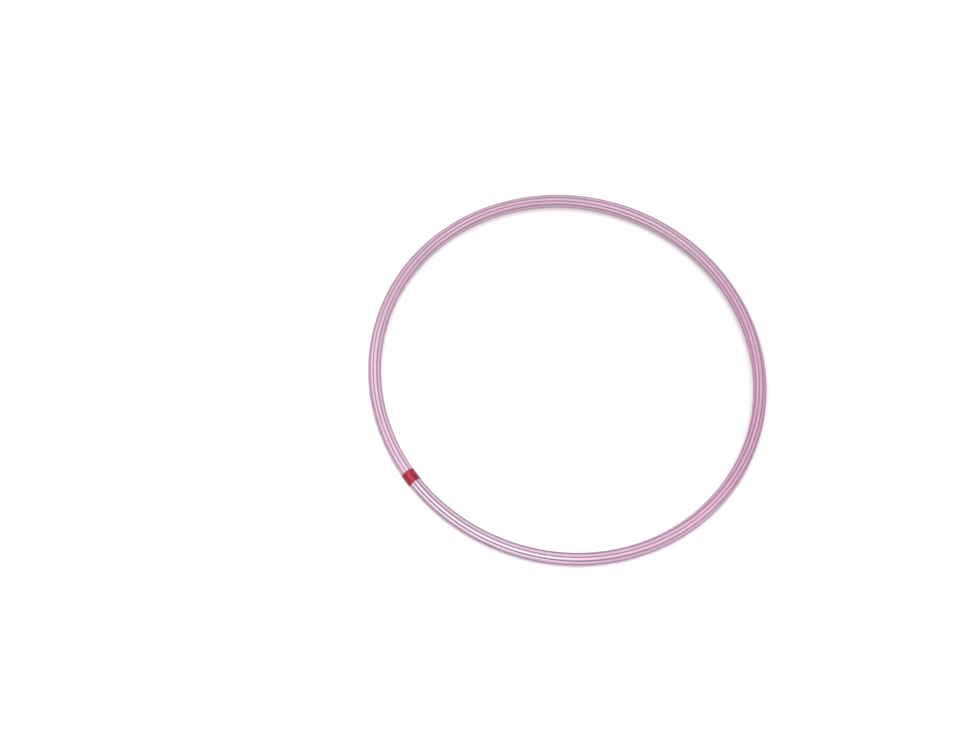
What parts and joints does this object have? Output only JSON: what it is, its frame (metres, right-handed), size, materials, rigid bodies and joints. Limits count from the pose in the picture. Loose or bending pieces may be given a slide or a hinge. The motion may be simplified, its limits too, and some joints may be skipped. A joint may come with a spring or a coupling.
{
  "type": "rhythmic hoop",
  "caption": "Round gymnastics hoop bent from lengthwise-ribbed hollow plastic tube, its butted ends held on a barbed inner plug and bound with a band of coloured vinyl tape.",
  "frame": {"origin": "centre of the ring, on its middle plane", "axes": "+Z along the ring's axis, upwards when the hoop lies flat; the taped seam is on the -Y side"},
  "size_m": [0.6, 0.6003, 0.0202],
  "materials": {
    "tube": "satin",
    "plug": "matte",
    "tape": "satin"
  },
  "bodies": {
    "root": {"tube": "tube", "joint_plug": "plug", "joint_tape": "tape"}
  },
  "joints": []
}
